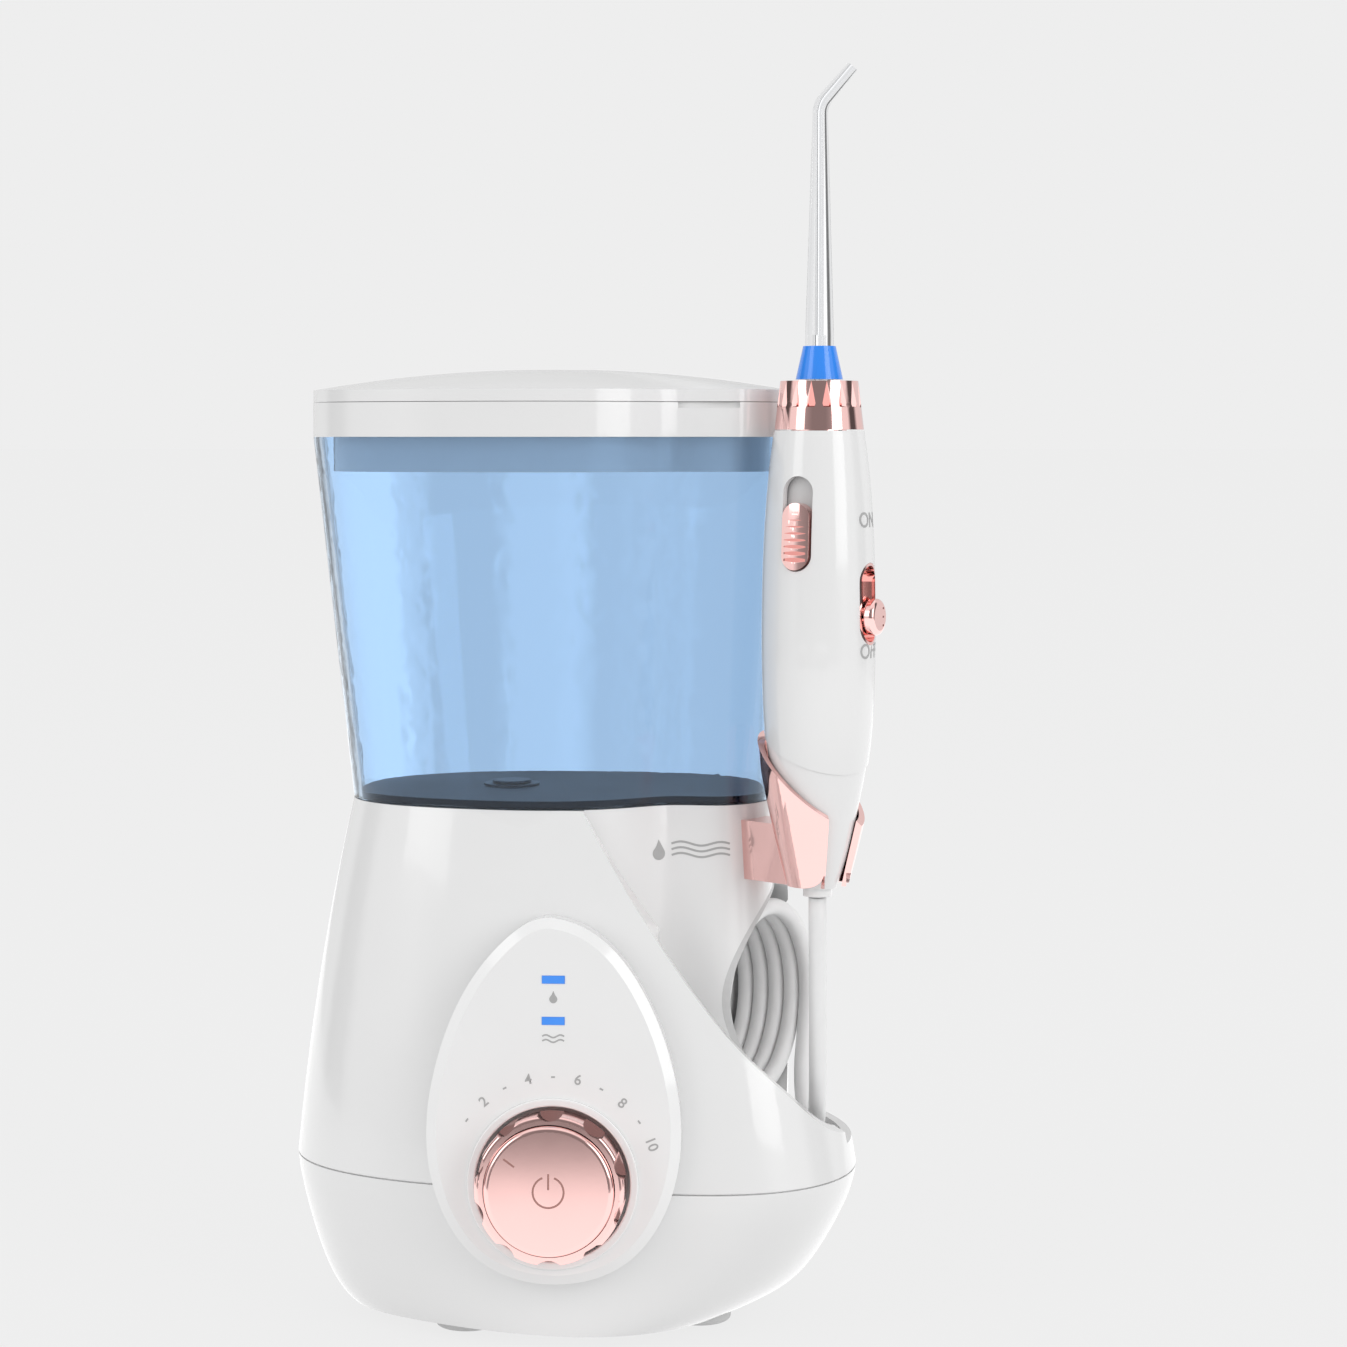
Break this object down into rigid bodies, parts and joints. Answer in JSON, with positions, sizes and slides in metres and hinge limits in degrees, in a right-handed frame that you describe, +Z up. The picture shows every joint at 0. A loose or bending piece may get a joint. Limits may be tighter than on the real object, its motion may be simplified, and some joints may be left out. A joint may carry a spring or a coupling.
{
  "type": "water flosser",
  "caption": "Countertop water flosser: pump base with dial panel, lift-off reservoir and lid, coiled hose in a side cup, and a jet-tip handle in a cradle.",
  "frame": {"origin": "centre of the flosser's footprint box, on the surface that its feet stand on", "axes": "+Z up along the height; +X to the user's right, towards the handle; the user and the dial panel are on the -Y side"},
  "size_m": [0.1587, 0.1292, 0.331],
  "materials": {
    "gloss_white": "gloss white ABS",
    "panel_white": "gloss white ABS, panel",
    "rose_gold": "polished rose-gold plating",
    "tank_blue": "clear blue tritan",
    "tank_dark": "smoky translucent plastic",
    "hose_white": "white silicone hose",
    "cup_grey": "satin grey plastic",
    "rubber_grey": "light grey rubber",
    "tip_clear": "clear moulded nozzle",
    "tip_blue": "blue colour ring",
    "lens_blue": "lit blue window",
    "steel": "steel",
    "inner_plastic": "moulded inner part",
    "board_green": "circuit board",
    "seal_black": "black rubber seal"
  },
  "bodies": {
    "base": {"upper_casing": "gloss_white", "lower_casing": "gloss_white", "control_panel": "panel_white", "dial_bezel": "panel_white", "pressure_valve": "inner_plastic", "indicator_lens_1": "lens_blue", "indicator_lens_2": "lens_blue", "rubber_foot_1": "rubber_grey", "rubber_foot_2": "rubber_grey", "rubber_foot_3": "rubber_grey", "rubber_foot_4": "rubber_grey", "casing_screw_1": "steel", "casing_screw_2": "steel", "casing_screw_3": "steel", "cord_gland": "rubber_grey", "hose_cup": "cup_grey", "hose_coil": "hose_white", "hose_nipple": "inner_plastic", "hose_lead": "hose_white", "handle_cradle": "rose_gold", "tank_seal": "seal_black", "motor": "steel", "drive_frame": "inner_plastic", "pump_cylinder": "inner_plastic", "pump_piston": "steel", "circuit_board": "board_green"},
    "dial": {"pressure_dial": "rose_gold"},
    "power_button": {"power_button": "rose_gold"},
    "handle": {"handle_shell": "gloss_white", "handle_end_cap": "gloss_white", "strain_relief": "gloss_white", "tip_release_track": "cup_grey", "switch_recess": "rose_gold", "handle_core": "inner_plastic"},
    "tip_release": {"tip_release": "rose_gold"},
    "flow_switch": {"flow_switch": "rose_gold"},
    "collar": {"tip_collar": "rose_gold"},
    "tip": {"tip_ring": "tip_blue", "jet_tip": "tip_clear"},
    "reservoir": {"reservoir_tank": "tank_blue", "reservoir_base": "tank_dark", "outlet_valve": "inner_plastic"},
    "lid": {"lid_rim": "gloss_white", "lid_tray": "gloss_white", "tip_nests": "gloss_white", "lid_hinge_pin": "steel"},
    "lid_cover": {"lid_cover": "gloss_white"},
    "pinion": {"motor_pinion": "inner_plastic"},
    "cam_wheel": {"cam_wheel": "inner_plastic"}
  },
  "joints": [
    {"name": "dial_turn", "type": "hinge", "parent": "base", "child": "dial", "pos_m": [-0.0048, -0.051, 0.0465], "axis": [0, -0.9976, 0.0698], "range_deg": [-121.5, 0]},
    {"name": "power_press", "type": "slide", "parent": "dial", "child": "power_button", "axis": [0, 0.9976, -0.0698], "range_m": [0, 0.0015], "stiffness_N_per_m": 800},
    {"name": "handle_lift", "type": "slide", "parent": "base", "child": "handle", "axis": [0, 0, 1], "range_m": [0, 0.12]},
    {"name": "release_slide", "type": "slide", "parent": "handle", "child": "tip_release", "axis": [0, 0, 1], "range_m": [0, 0.004], "stiffness_N_per_m": 400},
    {"name": "switch_slide", "type": "slide", "parent": "handle", "child": "flow_switch", "axis": [0, 0, 1], "range_m": [0, 0.007]},
    {"name": "collar_spin", "type": "hinge", "parent": "handle", "child": "collar", "pos_m": [0.0621, -0.0254, 0.244], "axis": [0, 0, 1], "continuous": true},
    {"name": "tip_pull", "type": "slide", "parent": "collar", "child": "tip", "axis": [0, 0, 1], "range_m": [0, 0.03]},
    {"name": "reservoir_lift", "type": "slide", "parent": "base", "child": "reservoir", "axis": [0, 0, 1], "range_m": [0, 0.12]},
    {"name": "lid_lift", "type": "slide", "parent": "reservoir", "child": "lid", "axis": [0, 0, 1], "range_m": [0, 0.06]},
    {"name": "cover_hinge", "type": "hinge", "parent": "lid", "child": "lid_cover", "pos_m": [-0.0023, 0.0559, 0.245], "axis": [-1, 0, 0], "range_deg": [0, 95]},
    {"name": "motor_spin", "type": "hinge", "parent": "base", "child": "pinion", "pos_m": [-0.0383, 0.017, 0.056], "axis": [0, 0, 1], "continuous": true},
    {"name": "wheel_spin", "type": "hinge", "parent": "base", "child": "cam_wheel", "pos_m": [-0.0143, 0.017, 0.056], "axis": [0, 0, 1], "continuous": true}
  ],
  "couplings": [
    {"joint": "wheel_spin", "follows": "motor_spin", "ratio": -0.25}
  ]
}
